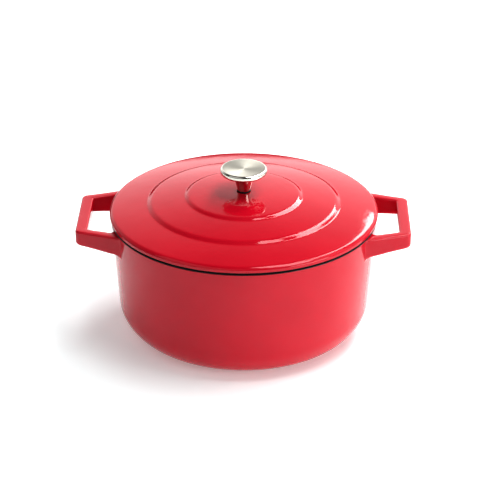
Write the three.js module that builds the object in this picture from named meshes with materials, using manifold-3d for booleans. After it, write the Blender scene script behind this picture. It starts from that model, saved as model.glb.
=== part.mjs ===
// An enamelled cast iron dutch oven: a round pot cast with two loop handles, a domed lid that
// lifts off, and a stainless steel knob held to the lid by a screw from below.
// Millimetres, +Z up, +X along the handles. The origin is at the middle of the base, on the table.

import * as THREE from 'three';
import * as BufferGeometryUtils from 'three/addons/utils/BufferGeometryUtils.js';
import Module from 'manifold-3d';

const wasm = await Module();
wasm.setup();

// ---- Driving dimensions ----

const GAP = 0.3;                          // clearance between pieces that touch
const RADIAL_STEPS = 48;                  // facets around the pot and the lid
const SMALL_STEPS = 24;                   // facets around the knob and its fixings

const RIM_HEIGHT = 122;                   // top of the pot's bare rim
const WALL_TOP_RADIUS = 132.3;            // outside of the wall, just below the rim
const WALL_TAPER = 0.073;                 // radius lost per millimetre of depth
const WALL_THICKNESS = 3.9;
const FLOOR_THICKNESS = 4.5;
const BASE_RADIUS = 88;                   // where the flat base ends
const BASE_RECESS = 0.8;                  // the base stands on a ring around a shallow recess
const BASE_RING_WIDTH = 9;
const BASE_SLOPE = THREE.MathUtils.degToRad(24.5);
const BASE_CURVE = 36;                    // from the flat base up to the slope
const CORNER_CURVE = 34;                  // from the slope up to the wall
const CORNER_HEIGHT = 9.7;                // where the slope and the wall would meet

const HANDLE_TOP = 121;
const HANDLE_REACH = 164.4;               // X of the outside of the bar
const HANDLE_HALF_WIDTH = 41.4;           // Y of the bar's outer corners
const HANDLE_SPLAY = THREE.MathUtils.degToRad(18.5);
const HANDLE_BAR = 11.6;                  // width of the bar that the fingers hold
const HANDLE_ARM = 9.6;                   // width of the two arms
const HANDLE_DEPTH = 15;                  // height of the bar
const HANDLE_UNDERCUT = 0.11;             // the underside drops this much per millimetre inwards
const HANDLE_EDGE = 2;                    // rounding of the handle's edges
const HANDLE_CORNER = 6.5;
const ROOT_FILLET = 5;
const ROOT_FLARE = THREE.MathUtils.degToRad(7);

const LID_RADIUS = 133;
const LID_LIP = RIM_HEIGHT + 1.8;         // underside of the lid's edge
const LID_EDGE_TOP = 129.6;
const LID_THICKNESS = 4;
const OUTER_STEP = { foot: [95.8, 135.0], top: [91.7, 137.4] };
const INNER_STEP = { foot: [58.4, 142.1], top: [55.0, 144.1] };
const KNOB_PAD = { radius: 10, height: 146.8, thickness: 5.5 };

const KNOB_TOP = 172.2;
const KNOB_RADIUS = 23.4;
const STEM_FOOT_RADIUS = 6.3;
const STEM_NECK = { radius: 8, rise: 8 };
const STEM_FLARE = { radius: 11.2, drop: 2.2 };
const CAP_CONE = 0.4;
const GASKET_THICKNESS = 0.8;
const SCREW_RADIUS = 3;                   // M6
const SCREW_HEAD = { radius: 6, height: 3.6 };
const INSERT_RADIUS = 4.6;
const WASHER_THICKNESS = 1.2;

// ---- Materials ----

function material(color, roughness, metalness) {
  return new THREE.MeshStandardMaterial({ color, roughness, metalness });
}

const redEnamel = material(0xc4202c, 0.12, 0);
const stainless = material(0xd6d3c4, 0.3, 1);
const plainSteel = material(0x9a9a98, 0.4, 1);
const silicone = material(0x1c1b1b, 0.7, 0);

// ---- Shape helpers ----

// Rounds the corners of a closed outline. Each corner is [u, v] or [u, v, radius].
function rounded(corners, stepAngle = Math.PI / 8) {
  const points = [];
  corners.forEach(([u, v, radius = 0], i) => {
    const corner = new THREE.Vector2(u, v);
    if (radius === 0) {
      points.push(corner);
      return;
    }
    const before = corners[(i + corners.length - 1) % corners.length];
    const after = corners[(i + 1) % corners.length];
    const toBefore = new THREE.Vector2(before[0] - u, before[1] - v).normalize();
    const toAfter = new THREE.Vector2(after[0] - u, after[1] - v).normalize();
    const inside = Math.acos(THREE.MathUtils.clamp(toBefore.dot(toAfter), -1, 1));
    const turn = Math.PI - inside;
    const bisector = toBefore.clone().add(toAfter).normalize();
    const centre = corner.clone().addScaledVector(bisector, radius / Math.sin(inside / 2));
    const start = corner.clone().addScaledVector(toBefore, radius / Math.tan(inside / 2)).sub(centre);
    const side = Math.sign(toAfter.cross(toBefore)) || 1;
    const steps = Math.max(1, Math.round(turn / stepAngle));
    for (let k = 0; k <= steps; k += 1) {
      const spoke = start.clone().rotateAround(new THREE.Vector2(), side * turn * k / steps);
      points.push(centre.clone().add(spoke));
    }
  });
  return points;
}

// Turns a closed outline of (radius, height) points around Z.
function turned(outline, steps) {
  const onAxis = (point) => point.x < 1e-6;
  const closed = onAxis(outline[0]) && onAxis(outline.at(-1)) ? outline : [...outline, outline[0].clone()];
  const upwards = THREE.ShapeUtils.area(outline) > 0;
  const profile = upwards ? closed : closed.slice().reverse();
  return new THREE.LatheGeometry(profile, steps).rotateX(Math.PI / 2);
}

function toSolid(geometry) {
  const bare = geometry.clone();
  bare.deleteAttribute('normal');
  bare.deleteAttribute('uv');
  const merged = BufferGeometryUtils.mergeVertices(bare, 1e-4);
  const corners = Array.from(merged.index.array);
  const triangles = [];
  for (let i = 0; i < corners.length; i += 3) {
    const [a, b, c] = corners.slice(i, i + 3);
    if (a !== b && b !== c && c !== a) triangles.push(a, b, c);
  }
  return new wasm.Manifold(new wasm.Mesh({
    numProp: 3,
    vertProperties: Float32Array.from(merged.attributes.position.array),
    triVerts: Uint32Array.from(triangles),
  }));
}

function fromSolid(solid) {
  const mesh = solid.getMesh();
  const geometry = new THREE.BufferGeometry();
  geometry.setAttribute('position', new THREE.BufferAttribute(mesh.vertProperties, 3));
  geometry.setIndex(new THREE.BufferAttribute(mesh.triVerts, 1));
  geometry.computeVertexNormals();
  return geometry;
}

function piece(name, geometry, look) {
  const mesh = new THREE.Mesh(geometry, look);
  mesh.name = name;
  return mesh;
}

// ---- Pot: wall, floor and two loop handles in one casting ----

function wallRadius(height) {
  return WALL_TOP_RADIUS - (RIM_HEIGHT - height) * WALL_TAPER;
}

// The outside and the inside of the pot share this bowl-shaped outline, moved in by `inset`.
function bowlCorners(inset, floor) {
  const baseCurve = BASE_CURVE - inset;
  const corner = floor + CORNER_HEIGHT;
  return [
    [BASE_RADIUS - inset + baseCurve * Math.tan(BASE_SLOPE / 2), floor, baseCurve],
    [wallRadius(corner) - inset, corner, CORNER_CURVE - inset],
  ];
}

function potOutside() {
  const ringInner = BASE_RADIUS - BASE_RING_WIDTH;
  return turned(rounded([
    [0, BASE_RECESS],
    [ringInner - BASE_RECESS, BASE_RECESS],
    [ringInner, 0],
    ...bowlCorners(0, 0),
    [WALL_TOP_RADIUS, RIM_HEIGHT, 1.4],
    [0, RIM_HEIGHT],
  ]), RADIAL_STEPS);
}

function potInside() {
  const above = 10;
  return turned(rounded([
    [0, FLOOR_THICKNESS],
    ...bowlCorners(WALL_THICKNESS, FLOOR_THICKNESS),
    [wallRadius(RIM_HEIGHT) - WALL_THICKNESS, RIM_HEIGHT],
    [wallRadius(RIM_HEIGHT) - WALL_THICKNESS, RIM_HEIGHT + above],
    [0, RIM_HEIGHT + above],
  ]), RADIAL_STEPS);
}

// One side of the loop in plan, from the bar's middle to the root buried in the wall.
function handleSide(sign) {
  const inWall = WALL_TOP_RADIUS - 1.5;
  const splay = Math.tan(HANDLE_SPLAY);
  const armStep = HANDLE_ARM / Math.cos(HANDLE_SPLAY);
  const outer = (x) => HANDLE_HALF_WIDTH + (HANDLE_REACH - x) * splay;
  const inner = (x) => outer(x) - armStep;
  const barInside = HANDLE_REACH - HANDLE_BAR;
  const rootAt = (edge) => {
    let x = HANDLE_REACH;
    while (Math.hypot(x, edge(x)) > inWall) x -= 0.1;
    return [x, edge(x)];
  };
  const around = ([x, y], angle, radius) => {
    const bearing = Math.atan2(y, x) + angle;
    return [radius * Math.cos(bearing), radius * Math.sin(bearing)];
  };
  const outerRoot = rootAt(outer);
  const innerRoot = rootAt(inner);
  return [
    [barInside, inner(barInside), 1.6],
    [...innerRoot, ROOT_FILLET],
    around(innerRoot, -ROOT_FLARE, inWall - 1.5),
    around(innerRoot, -ROOT_FLARE / 2, inWall - 12),
    around(outerRoot, ROOT_FLARE / 2, inWall - 12),
    around(outerRoot, ROOT_FLARE, inWall - 1.5),
    [...outerRoot, ROOT_FILLET],
    [HANDLE_REACH, outer(HANDLE_REACH), HANDLE_CORNER],
  ].map(([x, y, radius = 0]) => [x, sign * y, radius]);
}

function handle(direction) {
  const corners = [...handleSide(1), ...handleSide(-1).reverse()];
  const shape = new THREE.Shape(rounded(corners, Math.PI / 9));
  const solid = new THREE.ExtrudeGeometry(shape, {
    depth: HANDLE_DEPTH - 2 * HANDLE_EDGE,
    bevelThickness: HANDLE_EDGE,
    bevelSize: HANDLE_EDGE,
    bevelOffset: -HANDLE_EDGE,
    bevelSegments: 3,
  }).translate(0, 0, HANDLE_TOP - HANDLE_DEPTH + HANDLE_EDGE);
  const position = solid.attributes.position;
  for (let i = 0; i < position.count; i += 1) {
    const growth = 1 + (HANDLE_REACH - position.getX(i)) * HANDLE_UNDERCUT / HANDLE_DEPTH;
    position.setZ(i, HANDLE_TOP - (HANDLE_TOP - position.getZ(i)) * growth);
  }
  return direction > 0 ? solid : solid.rotateZ(Math.PI);
}

function pot() {
  const casting = toSolid(potOutside())
    .add(toSolid(handle(1)))
    .add(toSolid(handle(-1)))
    .subtract(toSolid(potInside()));
  return piece('pot_body', fromSolid(casting), redEnamel);
}

// ---- Lid: terraced dome with a lip, a seat on the rim and a locating rib in the mouth ----

const padUnderside = KNOB_PAD.height - KNOB_PAD.thickness;

// A shallow arch between two points, bulging up by `rise` at the middle.
function arch([startRadius, startHeight], [endRadius, endHeight], rise, steps) {
  return Array.from({ length: steps - 1 }, (_, i) => {
    const t = (i + 1) / steps;
    return [
      THREE.MathUtils.lerp(startRadius, endRadius, t),
      THREE.MathUtils.lerp(startHeight, endHeight, t) + 4 * rise * t * (1 - t),
    ];
  });
}

function lid() {
  const seat = RIM_HEIGHT + GAP;
  const mouth = wallRadius(RIM_HEIGHT) - WALL_THICKNESS;
  const ribOuter = mouth - 1.6;
  const ribInner = ribOuter - 4;
  const underEdge = [ribInner - 2, LID_EDGE_TOP - LID_THICKNESS];
  const hole = SCREW_RADIUS + 0.4;
  const boss = 12;
  const underPad = [boss + 1.5, padUnderside + 2];
  const edgeTop = [LID_RADIUS - 2.6, LID_EDGE_TOP];
  const outline = rounded([
    [hole, KNOB_PAD.height],
    [KNOB_PAD.radius, KNOB_PAD.height],
    ...arch([KNOB_PAD.radius, KNOB_PAD.height], INNER_STEP.top, 0.6, 4),
    [...INNER_STEP.top, 2],
    [...INNER_STEP.foot, 2],
    ...arch(INNER_STEP.foot, OUTER_STEP.top, 0.3, 3),
    [...OUTER_STEP.top, 2],
    [...OUTER_STEP.foot, 2],
    ...arch(OUTER_STEP.foot, edgeTop, 0.3, 3),
    [...edgeTop, 4],
    [LID_RADIUS, LID_EDGE_TOP - 2, 2.4],
    [LID_RADIUS, LID_LIP, 0.8],
    [LID_RADIUS - 1.6, LID_LIP],
    [LID_RADIUS - 2.4, seat],
    [ribOuter, seat],
    [ribOuter, seat - 4, 1],
    [ribInner, seat - 4, 1],
    underEdge,
    ...arch(underEdge, underPad, 3, 6),
    underPad,
    [boss, padUnderside],
    [hole, padUnderside],
  ]);
  return piece('lid', turned(outline, RADIAL_STEPS), redEnamel);
}

// ---- Knob: cap and flared stem around a threaded insert ----

const stemFoot = KNOB_PAD.height + GAP + GASKET_THICKNESS + GAP;
const capUnderside = KNOB_TOP - 4.6;

function knobGasket() {
  const bottom = KNOB_PAD.height + GAP;
  return piece('knob_gasket', turned(rounded([
    [SCREW_RADIUS + 0.6, bottom],
    [STEM_FOOT_RADIUS + 0.6, bottom],
    [STEM_FOOT_RADIUS + 0.6, bottom + GASKET_THICKNESS],
    [SCREW_RADIUS + 0.6, bottom + GASKET_THICKNESS],
  ]), SMALL_STEPS), silicone);
}

function knobStem() {
  const bore = INSERT_RADIUS + GAP;
  const boreTop = capUnderside - 5;
  const flange = KNOB_RADIUS - 2.6;
  const flangeFoot = capUnderside - GAP - 1.2;
  return piece('knob_stem', turned(rounded([
    [bore, stemFoot],
    [STEM_FOOT_RADIUS, stemFoot, 0.4],
    [STEM_NECK.radius, stemFoot + STEM_NECK.rise, 30],
    [STEM_FLARE.radius, flangeFoot - STEM_FLARE.drop, 6],
    [flange, flangeFoot],
    [flange, capUnderside - GAP],
    [0, capUnderside - GAP],
    [0, boreTop],
    [bore, boreTop],
  ]), SMALL_STEPS), stainless);
}

function knobCap() {
  const skirtInner = KNOB_RADIUS - 2.6 + GAP;
  const skirtFoot = capUnderside - 1.4;
  const dish = 0.9;
  return piece('knob_cap', turned(rounded([
    [0, KNOB_TOP - dish],
    ...arch([0, KNOB_TOP - dish], [KNOB_RADIUS - 2.8, KNOB_TOP], -0.25, 4),
    [KNOB_RADIUS - CAP_CONE, KNOB_TOP, 2],
    [KNOB_RADIUS, skirtFoot + 1.4, 1.2],
    [skirtInner + 0.4, skirtFoot, 0.4],
    [skirtInner, skirtFoot],
    [skirtInner, capUnderside],
    [0, capUnderside],
  ]), SMALL_STEPS), stainless);
}

function knobInsert() {
  const bottom = stemFoot + GAP;
  const top = capUnderside - 5 - GAP;
  return piece('knob_insert', turned(rounded([
    [SCREW_RADIUS + GAP, bottom],
    [INSERT_RADIUS, bottom],
    [INSERT_RADIUS, top],
    [SCREW_RADIUS + GAP, top],
  ]), SMALL_STEPS), plainSteel);
}

// ---- Fixings under the lid ----

const lockWasherTop = padUnderside - GAP - WASHER_THICKNESS - GAP;
const screwSeat = lockWasherTop - WASHER_THICKNESS - GAP;

function washer(name, top, radius) {
  return piece(name, turned(rounded([
    [SCREW_RADIUS + GAP, top - WASHER_THICKNESS],
    [radius, top - WASHER_THICKNESS],
    [radius, top],
    [SCREW_RADIUS + GAP, top],
  ]), SMALL_STEPS), plainSteel);
}

// A split spring washer: a ring with a narrow slot cut through one side.
function lockWasher() {
  const ring = washer('lock_washer', lockWasherTop, 5);
  const slot = new THREE.BoxGeometry(6, 1, 4).rotateZ(0.5).translate(4, 0, lockWasherTop - 0.6);
  ring.geometry = fromSolid(toSolid(ring.geometry).subtract(toSolid(slot)));
  return ring;
}

function knobScrew() {
  const tip = capUnderside - 8;
  const head = turned(rounded([
    [0, screwSeat - SCREW_HEAD.height],
    [2.2, screwSeat - SCREW_HEAD.height],
    [SCREW_HEAD.radius, screwSeat - SCREW_HEAD.height, 1.6],
    [SCREW_HEAD.radius, screwSeat],
    [SCREW_RADIUS, screwSeat],
    [SCREW_RADIUS, tip - 1],
    [SCREW_RADIUS - 1, tip],
    [0, tip],
  ]), SMALL_STEPS);
  const slotDepth = 1.8;
  const slotCentre = screwSeat - SCREW_HEAD.height + slotDepth / 2 - 0.5;
  const blade = new THREE.BoxGeometry(7, 1.2, slotDepth + 1).translate(0, 0, slotCentre);
  const crossBlade = blade.clone().rotateZ(Math.PI / 2);
  const cut = toSolid(head).subtract(toSolid(blade)).subtract(toSolid(crossBlade));
  return piece('knob_screw', fromSolid(cut), plainSteel);
}

// ---- Assembly ----

const lidGroup = new THREE.Group();
lidGroup.add(
  lid(),
  knobGasket(),
  knobStem(),
  knobCap(),
  knobInsert(),
  washer('flat_washer', padUnderside - GAP, 8),
  lockWasher(),
  knobScrew(),
);

const dutchOven = new THREE.Group();
dutchOven.add(pot(), lidGroup);

export default dutchOven;
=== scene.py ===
# An enamelled cast iron dutch oven with a domed, stepped lid and a stainless steel knob.
# Fine lathe and loop surfaces stand for the CAD castings and the knob. Their sizes are millimetres,
# turned into metres where a mesh is made, in the CAD frame: +Z up, +X along the handles, -Y in front.
# Materials and the stage use metres.

import math

import bpy
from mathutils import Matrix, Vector


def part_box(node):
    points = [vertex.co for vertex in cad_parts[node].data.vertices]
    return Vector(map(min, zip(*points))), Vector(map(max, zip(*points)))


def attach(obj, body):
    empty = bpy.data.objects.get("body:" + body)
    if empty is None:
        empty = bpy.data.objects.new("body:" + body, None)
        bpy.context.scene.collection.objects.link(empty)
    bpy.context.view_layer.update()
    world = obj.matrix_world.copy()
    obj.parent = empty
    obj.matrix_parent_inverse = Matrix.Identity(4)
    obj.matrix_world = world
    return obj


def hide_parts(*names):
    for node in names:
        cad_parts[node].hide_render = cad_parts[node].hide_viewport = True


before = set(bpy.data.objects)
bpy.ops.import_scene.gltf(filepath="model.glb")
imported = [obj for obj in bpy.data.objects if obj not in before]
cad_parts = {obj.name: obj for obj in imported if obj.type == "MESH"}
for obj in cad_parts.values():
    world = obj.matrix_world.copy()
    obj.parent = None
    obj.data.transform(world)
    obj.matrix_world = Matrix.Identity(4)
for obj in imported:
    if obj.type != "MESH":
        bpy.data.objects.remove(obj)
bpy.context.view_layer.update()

MM = 0.001

# ---- Sizes from the frame ----


def node_box(name):
    low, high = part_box(name)
    return low / MM, high / MM


_, pot_high = node_box("pot_body")
_, lid_high = node_box("lid")
cap_low, cap_high = node_box("knob_cap")
stem_low, stem_high = node_box("knob_stem")

RIM_HEIGHT = pot_high.z
HANDLE_REACH = pot_high.x
LID_RADIUS = lid_high.x
PAD_HEIGHT = lid_high.z
KNOB_RADIUS = cap_high.x
KNOB_TOP = cap_high.z
STEM_FOOT = stem_low.z

# ---- Sizes of the castings' details ----

WALL_TOP_RADIUS = 132.3
WALL_TAPER = 0.073
WALL_THICKNESS = 3.9
FLOOR_THICKNESS = 4.5
BASE_RADIUS = 88
BASE_RECESS = 0.8
BASE_RING_WIDTH = 9
# Only places the corner between base and bowl. The bowl's own slope there is about 19 degrees.
BASE_SLOPE = math.radians(24.5)
BASE_CURVE = 36
CORNER_CURVE = 34
CORNER_HEIGHT = 9.7
BARE_RIM = 0.9
COAT_FOOT = 2

HANDLE_TOP = RIM_HEIGHT - 1
HANDLE_HALF_WIDTH = 41.4
HANDLE_SPLAY = math.radians(18.5)
HANDLE_BAR = 11.6
HANDLE_ARM = 9.6
HANDLE_DEPTH = 15
HANDLE_UNDERCUT = 0.11
HANDLE_CORNER = 6.5
HANDLE_INNER_CORNER = 1.6
HANDLE_UNDER_ROUNDING = 3
HANDLE_TOP_ROUNDING = 2
ROOT_FILLET = 5
ROOT_FLARE = math.radians(7)
ROOT_INSET = 0.2
ROOT_BURIED = 0.8
ROOT_SEARCH_STEP = 0.02
WALL_FOLLOW = 8
FILLET_PIECES = 8
ARM_PIECES = 14
SECTION_PIECES = 6

LID_LIP = RIM_HEIGHT + 1.8
LID_EDGE_TOP = 129.6
OUTER_STEP = ((95.8, 135.0), (91.7, 137.4))
INNER_STEP = ((58.4, 142.1), (55.0, 144.1))
STEP_CREST_ROUNDING = 8
STEP_FOOT_ROUNDING = 4
PAD_RADIUS = 10
PAD_THICKNESS = 5.5
LID_HOLE = 3.4
LID_SEAT_GAP = 0.3
RIB_GAP = 1.6
RIB_WIDTH = 4
RIB_DEPTH = 4

STEM_BORE = 4.9
STEM_BORE_DEPTH = 4.7
STEM_FOOT_RADIUS = 6.3
STEM_NECK_RADIUS = 8
STEM_NECK_RISE = 8
STEM_FLARE_RADIUS = 11.2
STEM_FLARE_DROP = 2.2
STEM_FLANGE_THICKNESS = 1.2
STEM_FLANGE_INSET = 2.6

CAP_UNDERSIDE_RISE = 1.4
CAP_EDGE_RISE = 1.4
CAP_SKIRT_THICKNESS = 2.3
CAP_DISH = 0.9
CAP_RIM_INSET = 2.8
CAP_BRUSHED_INSET = 2.6
CAP_CONE = 0.4

# ---- Outlines ----


def rounded(corners, step=math.radians(6), count=None):
    """Rounds the corners of a closed outline. Each corner is (u, v) or (u, v, radius)."""
    points = []
    for i, corner in enumerate(corners):
        at = Vector(corner[:2])
        radius = corner[2] if len(corner) > 2 else 0
        if radius == 0:
            points.append(at)
            continue
        to_before = (Vector(corners[i - 1][:2]) - at).normalized()
        to_after = (Vector(corners[(i + 1) % len(corners)][:2]) - at).normalized()
        inside = to_before.angle(to_after)
        centre = at + (to_before + to_after).normalized() * radius / math.sin(inside / 2)
        start = at + to_before * radius / math.tan(inside / 2) - centre
        side = 1 if to_after.cross(to_before) > 0 else -1
        turn = math.pi - inside
        pieces = count or max(2, round(turn / step))
        for k in range(pieces + 1):
            angle = side * turn * k / pieces
            spoke = Vector((
                start.x * math.cos(angle) - start.y * math.sin(angle),
                start.x * math.sin(angle) + start.y * math.cos(angle),
            ))
            points.append(centre + spoke)
    return points


def arch(start, end, rise, steps):
    """Points of a shallow arch between two points, without its ends."""
    points = []
    for i in range(1, steps):
        t = i / steps
        u = start[0] + (end[0] - start[0]) * t
        v = start[1] + (end[1] - start[1]) * t + 4 * rise * t * (1 - t)
        points.append((u, v))
    return points


# ---- Meshes ----

SHARP_ANGLE = math.radians(40)


def make_object(name, verts, faces, materials, pick=None):
    """A smooth mesh object from points in millimetres. pick(centre, normal) chooses a face's material."""
    mesh = bpy.data.meshes.new(name)
    mesh.from_pydata([(x * MM, y * MM, z * MM) for x, y, z in verts], [], faces)
    mesh.validate()
    for material in materials:
        mesh.materials.append(material)
    if pick:
        for polygon in mesh.polygons:
            polygon.material_index = pick(polygon.center / MM, polygon.normal)
    mesh.polygons.foreach_set("use_smooth", [True] * len(mesh.polygons))
    mesh.set_sharp_from_angle(angle=SHARP_ANGLE)
    made = bpy.data.objects.new(name, mesh)
    bpy.context.collection.objects.link(made)
    return made


def turned(name, outline, materials, steps, pick=None):
    """Turns a closed outline of (radius, height) points around Z, with its faces outward."""
    area = sum(a.x * b.y - b.x * a.y for a, b in zip(outline, outline[1:] + outline[:1]))
    profile = outline if area > 0 else outline[::-1]
    rings = []
    verts = []
    for point in profile:
        if point.x < 1e-6:
            rings.append([len(verts)] * steps)
            verts.append((0, 0, point.y))
            continue
        rings.append(list(range(len(verts), len(verts) + steps)))
        for i in range(steps):
            angle = 2 * math.pi * i / steps
            verts.append((point.x * math.cos(angle), point.x * math.sin(angle), point.y))
    faces = []
    for ring, above in zip(rings, rings[1:] + rings[:1]):
        if ring[0] == ring[1] and above[0] == above[1]:
            continue
        for i in range(steps):
            j = (i + 1) % steps
            corners = [ring[i], ring[j], above[j], above[i]]
            faces.append(list(dict.fromkeys(corners)))
    return make_object(name, verts, faces, materials, pick)


# ---- Materials ----


def add_node(tree, kind, inputs, settings):
    """A new node. Each input is linked where a socket is given, and set where a value is."""
    node = tree.nodes.new(kind)
    for key, value in settings.items():
        setattr(node, key, value)
    for key, value in inputs.items():
        if isinstance(value, bpy.types.NodeSocket):
            tree.links.new(value, node.inputs[key])
        else:
            node.inputs[key].default_value = value
    return node


class Nodes:
    """A material's node tree, with a short way to add and link nodes."""

    def __init__(self, name):
        self.material = bpy.data.materials.new(name)
        self.material.use_nodes = True
        self.tree = self.material.node_tree
        self.shader = self.tree.nodes["Principled BSDF"]

    def add(self, kind, inputs=None, **settings):
        return add_node(self.tree, kind, inputs or {}, settings)

    def shade(self, **inputs):
        for key, value in inputs.items():
            socket = self.shader.inputs[key.replace("_", " ")]
            if isinstance(value, bpy.types.NodeSocket):
                self.tree.links.new(value, socket)
            else:
                socket.default_value = value


def noise(nodes, scale, detail, vector=None):
    inputs = {"Scale": scale, "Detail": detail, "Vector": vector or object_coordinates(nodes)}
    return nodes.add("ShaderNodeTexNoise", inputs).outputs["Fac"]


def object_coordinates(nodes):
    return nodes.add("ShaderNodeTexCoord").outputs["Object"]


def ramp(nodes, factor, stops):
    node = nodes.add("ShaderNodeValToRGB", {"Fac": factor})
    elements = node.color_ramp.elements
    elements[0].position, elements[0].color = stops[0]
    elements[-1].position, elements[-1].color = stops[-1]
    for position, color in stops[1:-1]:
        elements.new(position).color = color
    return node.outputs["Color"]


def bump(nodes, height, distance, normal=None):
    inputs = {"Height": height, "Distance": distance, "Strength": 1.0}
    if normal:
        inputs["Normal"] = normal
    return nodes.add("ShaderNodeBump", inputs).outputs["Normal"]


def red_enamel():
    """Thick gloss glass enamel: a deep red that thins a little, over a faint orange peel."""
    nodes = Nodes("red_gloss_enamel")
    clouds = noise(nodes, 18, 3)
    color = ramp(nodes, clouds, [
        (0.3, (0.53, 0.004, 0.022, 1)),
        (0.7, (0.58, 0.006, 0.026, 1)),
    ])
    swell = bump(nodes, noise(nodes, 45, 1), 0.00012)
    runs = bump(nodes, noise(nodes, 160, 1), 0.000035, swell)
    peel = bump(nodes, noise(nodes, 330, 2), 0.00002, runs)
    nodes.shade(
        Base_Color=color,
        Roughness=0.07,
        IOR=1.46,
        Normal=peel,
    )
    return nodes.material


def black_enamel():
    """Satin black enamel of the inside and the rim, finely pitted."""
    nodes = Nodes("satin_black_enamel")
    specks = noise(nodes, 900, 4)
    color = ramp(nodes, specks, [
        (0.35, (0.008, 0.008, 0.009, 1)),
        (0.7, (0.030, 0.030, 0.033, 1)),
    ])
    rough = ramp(nodes, noise(nodes, 260, 3), [
        (0.3, (0.42, 0.42, 0.42, 1)),
        (0.7, (0.6, 0.6, 0.6, 1)),
    ])
    pits = bump(nodes, specks, 0.00006)
    nodes.shade(Base_Color=color, Roughness=rough, Normal=pits)
    return nodes.material


def polished_steel():
    nodes = Nodes("polished_stainless")
    rough = ramp(nodes, noise(nodes, 300, 3), [
        (0.3, (0.09, 0.09, 0.09, 1)),
        (0.7, (0.16, 0.16, 0.16, 1)),
    ])
    nodes.shade(Base_Color=(0.78, 0.75, 0.68, 1), Metallic=1.0, Roughness=rough)
    return nodes.material


def brushed_steel():
    """A face turned on a lathe: fine rings around Z, which spread the light into soft spokes."""
    nodes = Nodes("brushed_stainless")
    split = nodes.add("ShaderNodeSeparateXYZ", {"Vector": object_coordinates(nodes)})
    flat = nodes.add("ShaderNodeCombineXYZ", {"X": split.outputs["X"], "Y": split.outputs["Y"]})
    radius = nodes.add("ShaderNodeVectorMath", {0: flat.outputs["Vector"]}, operation="LENGTH")
    ring = nodes.add("ShaderNodeCombineXYZ", {"X": radius.outputs["Value"]})
    grooves = noise(nodes, 6000, 2, ring.outputs["Vector"])
    color = ramp(nodes, grooves, [
        (0.3, (0.52, 0.50, 0.44, 1)),
        (0.7, (0.60, 0.58, 0.51, 1)),
    ])
    tangent = nodes.add("ShaderNodeTangent", direction_type="RADIAL", axis="Z")
    nodes.shade(
        Base_Color=color,
        Metallic=1.0,
        Roughness=0.42,
        Anisotropic=0.6,
        Tangent=tangent.outputs["Tangent"],
        Normal=bump(nodes, grooves, 0.000004),
    )
    return nodes.material


def zinc_steel():
    nodes = Nodes("zinc_plated_steel")
    mottle = noise(nodes, 700, 3)
    color = ramp(nodes, mottle, [
        (0.3, (0.42, 0.43, 0.45, 1)),
        (0.7, (0.60, 0.60, 0.60, 1)),
    ])
    nodes.shade(Base_Color=color, Metallic=1.0, Roughness=0.32, Normal=bump(nodes, mottle, 0.00001))
    return nodes.material


def dark_rubber():
    nodes = Nodes("dark_silicone")
    grain = noise(nodes, 1500, 3)
    color = ramp(nodes, grain, [
        (0.3, (0.010, 0.010, 0.010, 1)),
        (0.7, (0.022, 0.022, 0.022, 1)),
    ])
    nodes.shade(Base_Color=color, Roughness=0.6, Normal=bump(nodes, grain, 0.00002))
    return nodes.material


RED = red_enamel()
BLACK = black_enamel()
POLISHED = polished_steel()
BRUSHED = brushed_steel()
ZINC = zinc_steel()
RUBBER = dark_rubber()

# ---- Pot ----


def wall_radius(height):
    return WALL_TOP_RADIUS - (RIM_HEIGHT - height) * WALL_TAPER


def bowl_corners(inset, floor):
    base_curve = BASE_CURVE - inset
    corner = floor + CORNER_HEIGHT
    return [
        (BASE_RADIUS - inset + base_curve * math.tan(BASE_SLOPE / 2), floor, base_curve),
        (wall_radius(corner) - inset, corner, CORNER_CURVE - inset),
    ]


def make_pot():
    ring_inner = BASE_RADIUS - BASE_RING_WIDTH
    mouth = WALL_TOP_RADIUS - WALL_THICKNESS
    outline = rounded([
        (0, BASE_RECESS),
        (ring_inner - BASE_RECESS, BASE_RECESS, 0.8),
        (ring_inner, 0, 0.8),
        *bowl_corners(0, 0),
        (WALL_TOP_RADIUS, RIM_HEIGHT, 1.4),
        (mouth, RIM_HEIGHT, 0.8),
        *reversed(bowl_corners(WALL_THICKNESS, FLOOR_THICKNESS)),
        (0, FLOOR_THICKNESS),
    ], math.radians(3))

    def coat(centre, normal):
        outward = normal.x * centre.x + normal.y * centre.y
        radius = math.hypot(centre.x, centre.y)
        if centre.z > RIM_HEIGHT - BARE_RIM:
            return 1
        underneath = centre.z < COAT_FOOT and normal.z < 0
        return 0 if outward > 0.02 * radius or underneath else 1

    return turned("pot_casting", outline, [RED, BLACK], 256, coat)


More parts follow.
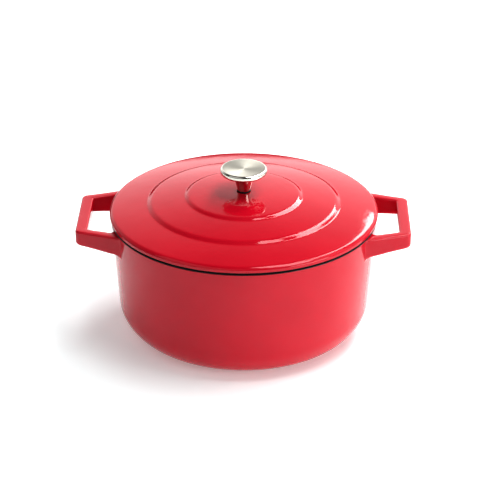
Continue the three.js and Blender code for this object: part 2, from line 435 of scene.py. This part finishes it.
def handle_edge(inner):
    """The loop's outer or inner edge in plan, from root to root. Both edges match point by point."""
    splay = math.tan(HANDLE_SPLAY)
    offset = HANDLE_ARM / math.cos(HANDLE_SPLAY) if inner else 0
    root_radius = WALL_TOP_RADIUS - ROOT_INSET

    def edge_y(x):
        return HANDLE_HALF_WIDTH + (HANDLE_REACH - x) * splay - offset

    corner_x = HANDLE_REACH - HANDLE_BAR if inner else HANDLE_REACH
    corner_radius = HANDLE_INNER_CORNER if inner else HANDLE_CORNER
    root_x = HANDLE_REACH
    while math.hypot(root_x, edge_y(root_x)) > root_radius:
        root_x -= ROOT_SEARCH_STEP
    root = (root_x, edge_y(root_x))
    flare = -ROOT_FLARE if inner else ROOT_FLARE
    bearing = math.atan2(root[1], root[0]) + flare
    buried_radius = root_radius - ROOT_BURIED
    buried = Vector((buried_radius * math.cos(bearing), buried_radius * math.sin(bearing)))

    corner = (corner_x, edge_y(corner_x), corner_radius)
    points = rounded([buried, (*root, ROOT_FILLET), corner, (corner_x, 0)], count=FILLET_PIECES)
    arm_start = FILLET_PIECES + 1
    arm_end = arm_start + 1
    arm = [points[arm_start].lerp(points[arm_end], k / ARM_PIECES) for k in range(1, ARM_PIECES)]
    half = points[:arm_end] + arm + points[arm_end:]
    mirrored = [Vector((point.x, -point.y)) for point in reversed(half[:-1])]
    return half + mirrored


def make_handle(name, side):
    """One loop: rounded sections lofted between the plan's two edges, deeper towards the pot."""
    sections = []
    for inner, outer in zip(handle_edge(True), handle_edge(False)):
        width = (outer - inner).length
        across = (outer - inner) / width
        section = rounded([
            (0, HANDLE_TOP - HANDLE_DEPTH, HANDLE_UNDER_ROUNDING),
            (width, HANDLE_TOP - HANDLE_DEPTH, HANDLE_UNDER_ROUNDING),
            (width, HANDLE_TOP, HANDLE_TOP_ROUNDING),
            (0, HANDLE_TOP, HANDLE_TOP_ROUNDING),
        ], count=SECTION_PIECES)
        ring = []
        for point in section:
            at = inner + across * point.x
            radius = at.length
            drop = HANDLE_TOP - point.y
            near = max(0, ROOT_FILLET - max(0, radius - wall_radius(HANDLE_TOP)))
            sweep = ROOT_FILLET - math.sqrt(ROOT_FILLET ** 2 - near ** 2)
            depth = HANDLE_DEPTH + (HANDLE_REACH - at.x) * HANDLE_UNDERCUT + sweep
            drop *= depth / HANDLE_DEPTH
            follow = max(0, min(1, 1 - (radius - wall_radius(HANDLE_TOP)) / WALL_FOLLOW))
            at = at * (1 - follow * WALL_TAPER * drop / radius)
            ring.append((side * at.x, side * at.y, HANDLE_TOP - drop))
        sections.append(ring)
    count = len(sections[0])
    verts = [vertex for ring in sections for vertex in ring]
    faces = [list(range(count))[::-1]]
    for k in range(len(sections) - 1):
        for i in range(count):
            j = (i + 1) % count
            faces.append([k * count + i, k * count + j, (k + 1) * count + j, (k + 1) * count + i])
    faces.append([(len(sections) - 1) * count + i for i in range(count)])
    return make_object(name, verts, faces, [RED])


# ---- Lid ----


def make_lid():
    seat = RIM_HEIGHT + LID_SEAT_GAP
    mouth = WALL_TOP_RADIUS - WALL_THICKNESS
    rib_outer = mouth - RIB_GAP
    rib_inner = rib_outer - RIB_WIDTH
    pad_under = PAD_HEIGHT - PAD_THICKNESS
    under_edge = (rib_inner - 2, LID_EDGE_TOP - 4)
    under_pad = (13.5, pad_under + 2)
    edge_top = (LID_RADIUS - 2.6, LID_EDGE_TOP)
    outline = rounded([
        (LID_HOLE, PAD_HEIGHT),
        (PAD_RADIUS, PAD_HEIGHT),
        *arch((PAD_RADIUS, PAD_HEIGHT), INNER_STEP[1], 0.6, 12),
        (*INNER_STEP[1], STEP_CREST_ROUNDING),
        (*INNER_STEP[0], STEP_FOOT_ROUNDING),
        *arch(INNER_STEP[0], OUTER_STEP[1], 0.3, 10),
        (*OUTER_STEP[1], STEP_CREST_ROUNDING),
        (*OUTER_STEP[0], STEP_FOOT_ROUNDING),
        *arch(OUTER_STEP[0], edge_top, 0.3, 10),
        (*edge_top, 4),
        (LID_RADIUS, LID_EDGE_TOP - 2, 2.4),
        (LID_RADIUS, LID_LIP, 0.8),
        (LID_RADIUS - 1.6, LID_LIP, 0.5),
        (LID_RADIUS - 2.4, seat, 0.3),
        (rib_outer, seat, 0.4),
        (rib_outer, seat - RIB_DEPTH, 1),
        (rib_inner, seat - RIB_DEPTH, 1),
        (*under_edge, 3),
        *arch(under_edge, under_pad, 3.0, 20),
        (*under_pad, 1),
        (12, pad_under, 0.6),
        (LID_HOLE, pad_under),
    ])

    def coat(centre, normal):
        radius = math.hypot(centre.x, centre.y)
        outside = normal.z > 0.02 or radius > LID_RADIUS - 1
        return 0 if outside and radius > PAD_RADIUS - 4 else 1

    return turned("lid_casting", outline, [RED, BLACK], 256, coat)


# ---- Knob ----


def make_knob_stem():
    flange = KNOB_RADIUS - STEM_FLANGE_INSET
    top = stem_high.z
    flange_foot = top - STEM_FLANGE_THICKNESS
    bore_top = top - STEM_BORE_DEPTH
    outline = rounded([
        (STEM_BORE, STEM_FOOT),
        (STEM_FOOT_RADIUS, STEM_FOOT, 0.4),
        (STEM_NECK_RADIUS, STEM_FOOT + STEM_NECK_RISE, 30),
        (STEM_FLARE_RADIUS, flange_foot - STEM_FLARE_DROP, 6),
        (flange, flange_foot),
        (flange, top),
        (0, top),
        (0, bore_top),
        (STEM_BORE, bore_top),
    ])
    return turned("knob_stem_polished", outline, [POLISHED], 128)


def make_knob_cap():
    underside = cap_low.z + CAP_UNDERSIDE_RISE
    skirt_inner = KNOB_RADIUS - CAP_SKIRT_THICKNESS
    middle = (0, KNOB_TOP - CAP_DISH)
    rim = (KNOB_RADIUS - CAP_RIM_INSET, KNOB_TOP)
    outline = rounded([
        middle,
        *arch(middle, rim, -0.25, 10),
        (KNOB_RADIUS - CAP_CONE, KNOB_TOP, 2),
        (KNOB_RADIUS, cap_low.z + CAP_EDGE_RISE, 1.2),
        (skirt_inner + 0.6, cap_low.z, 0.5),
        (skirt_inner, cap_low.z, 0.2),
        (skirt_inner, underside),
        (0, underside),
    ])

    def finish(centre, normal):
        radius = math.hypot(centre.x, centre.y)
        return 1 if normal.z > 0.5 and radius < KNOB_RADIUS - CAP_BRUSHED_INSET else 0

    return turned("knob_cap_brushed", outline, [POLISHED, BRUSHED], 128, finish)


# ---- Stage, light and camera, in metres ----

BRIGHT_AZIMUTH = math.radians(75)
WALL_GLOW = 2.3
# The floor's faint glow is painted light that lifts its shadows.
FLOOR_GLOW = 0.3
# FLOOR_WHITE and FLOOR_DARK are where the floor's painted shade starts and where it is full, in metres
# from the pot.
FLOOR_WHITE = 0.95
FLOOR_DARK = 1.35
FLOOR_HALF = 8
KEY_POWER = 49
RIGHT_POWER = 29
OVERHEAD_POWER = 24
SIDE_POWER = 7
FILL_POWER = 12


def make_floor():
    """A cool white sweep: its colour darkens far from the pot as painted shade, and it glows faintly as
    painted light that lifts its shadows.
    """
    nodes = Nodes("white_floor")
    distance = nodes.add("ShaderNodeVectorMath", {0: object_coordinates(nodes)}, operation="LENGTH")
    reach = nodes.add("ShaderNodeMapRange", {
        "Value": distance.outputs["Value"],
        "From Min": FLOOR_WHITE,
        "From Max": FLOOR_DARK,
    })
    # Painted shade: the floor's colour fades to dark grey far from the pot, standing in for light falling
    # off beyond the lit area.
    tone = ramp(nodes, reach.outputs["Result"], [
        (0, (0.88, 0.95, 0.95, 1)),
        (1, (0.12, 0.12, 0.12, 1)),
    ])
    # The emission is painted light: the floor glows faintly, in its own painted tone, to lift its
    # shadows.
    nodes.shade(
        Base_Color=tone,
        Roughness=0.6,
        Specular_IOR_Level=0.2,
        Emission_Color=tone,
        Emission_Strength=FLOOR_GLOW,
    )
    mesh = bpy.data.meshes.new("floor")
    signs = ((-1, -1), (1, -1), (1, 1), (-1, 1))
    mesh.from_pydata([(x * FLOOR_HALF, y * FLOOR_HALF, 0) for x, y in signs], [], [(0, 1, 2, 3)])
    mesh.materials.append(nodes.material)
    floor = bpy.data.objects.new("floor", mesh)
    bpy.context.collection.objects.link(floor)


def area_light(name, location, target, width, height, power):
    light = bpy.data.lights.new(name, "AREA")
    light.shape = "RECTANGLE"
    light.size = width
    light.size_y = height
    light.energy = power
    made = bpy.data.objects.new(name, light)
    made.location = location
    made.rotation_euler = (Vector(target) - Vector(location)).to_track_quat("-Z", "Y").to_euler()
    bpy.context.collection.objects.link(made)


def make_world():
    """A white studio, brightest low behind the pot, falling to dark above and in front."""
    world = bpy.data.worlds.new("soft_studio")
    world.use_nodes = True
    tree = world.node_tree

    def add(kind, inputs, **settings):
        return add_node(tree, kind, inputs, settings)

    def grey_ramp(factor, stops):
        node = add("ShaderNodeValToRGB", {"Fac": factor})
        elements = node.color_ramp.elements
        for element, (position, grey) in zip((elements[0], elements[-1]), (stops[0], stops[-1])):
            element.position = position
            element.color = (grey, grey, grey, 1)
        for position, grey in stops[1:-1]:
            elements.new(position).color = (grey, grey, grey, 1)
        return node.outputs["Color"]

    direction = tree.nodes.new("ShaderNodeTexCoord").outputs["Generated"]
    split = add("ShaderNodeSeparateXYZ", {"Vector": direction})
    flat = add("ShaderNodeCombineXYZ", {"X": split.outputs["X"], "Y": split.outputs["Y"]})
    level = add("ShaderNodeVectorMath", {0: flat.outputs["Vector"]}, operation="NORMALIZE")
    bright_side = Vector((math.cos(BRIGHT_AZIMUTH), math.sin(BRIGHT_AZIMUTH), 0))
    facing = add("ShaderNodeVectorMath", {
        0: level.outputs["Vector"],
        1: bright_side,
    }, operation="DOT_PRODUCT")
    turn = add("ShaderNodeMapRange", {
        "Value": facing.outputs["Value"],
        "From Min": -1.0,
        "From Max": 1.0,
    })
    around = grey_ramp(turn.outputs["Result"], [
        (0, 0.05),
        (0.4, 0.08),
        (0.63, 0.4),
        (0.85, 0.85),
        (1, 1.0),
    ])
    height = grey_ramp(split.outputs["Z"], [
        (0, 0.03),
        (0.07, 0.05),
        (0.13, 1),
        (0.3, 0.75),
        (0.42, 0.6),
        (0.55, 0.4),
        (0.7, 0.14),
        (0.85, 0.05),
    ])
    both = add("ShaderNodeVectorMath", {0: around, 1: height}, operation="MULTIPLY")
    tree.links.new(both.outputs["Vector"], tree.nodes["Background"].inputs["Color"])
    tree.nodes["Background"].inputs["Strength"].default_value = WALL_GLOW
    bpy.context.scene.world = world


def make_lights():
    """A tall softbox behind on the right, a low one at its side, and weaker panels around the pot."""
    area_light("key_softbox", (1.0, 1.45, 1.79), (1.0, 0, 0), 0.78, 1.9, KEY_POWER)
    area_light("right_softbox", (1.82, -1.27, 0.6), (0, 0, 0), 1.32, 1.15, RIGHT_POWER)
    area_light("side_panel", (1.63, 0, 1.63), (0, 0, 0), 1.15, 1.67, SIDE_POWER)
    area_light("overhead_panel", (0.7, -0.12, 2.19), (0, 0, 0), 1.0, 1.0, OVERHEAD_POWER)
    area_light("left_fill", (-1.15, -1.15, 1.63), (0, 0, 0), 2.6, 2.0, FILL_POWER)


def make_camera():
    elevation = math.radians(27)
    azimuth = math.radians(1.15)
    distance = 2.02
    target = Vector((0, 0, 0.075))
    back = Vector((
        math.sin(azimuth) * math.cos(elevation),
        -math.cos(azimuth) * math.cos(elevation),
        math.sin(elevation),
    ))
    lens = bpy.data.cameras.new("camera")
    lens.sensor_width = 36
    lens.lens = 144.8
    lens.shift_x = 0.0124
    lens.shift_y = 0.0114
    camera = bpy.data.objects.new("camera", lens)
    camera.location = target + back * distance
    camera.rotation_euler = (-back).to_track_quat("-Z", "Y").to_euler()
    bpy.context.collection.objects.link(camera)
    bpy.context.scene.camera = camera


# ---- Assembly ----

pot = make_pot()
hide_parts("pot_body")
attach(pot, "pot")

for name, side in (("handle_right", 1), ("handle_left", -1)):
    loop = make_handle(name, side)
    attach(loop, "pot")

lid = make_lid()
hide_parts("lid")
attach(lid, "lid")

stem = make_knob_stem()
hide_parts("knob_stem")
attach(stem, "lid")

cap = make_knob_cap()
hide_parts("knob_cap")
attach(cap, "lid")

node_materials = {
    "knob_insert": ZINC,
    "knob_gasket": RUBBER,
    "flat_washer": ZINC,
    "lock_washer": ZINC,
    "knob_screw": ZINC,
}
for name, material in node_materials.items():
    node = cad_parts[name]
    for material_slot in node.material_slots:
        material_slot.material = material

make_floor()
make_world()
make_lights()
make_camera()
bpy.context.scene.view_settings.view_transform = "Standard"
bpy.context.scene.view_settings.gamma = 0.8
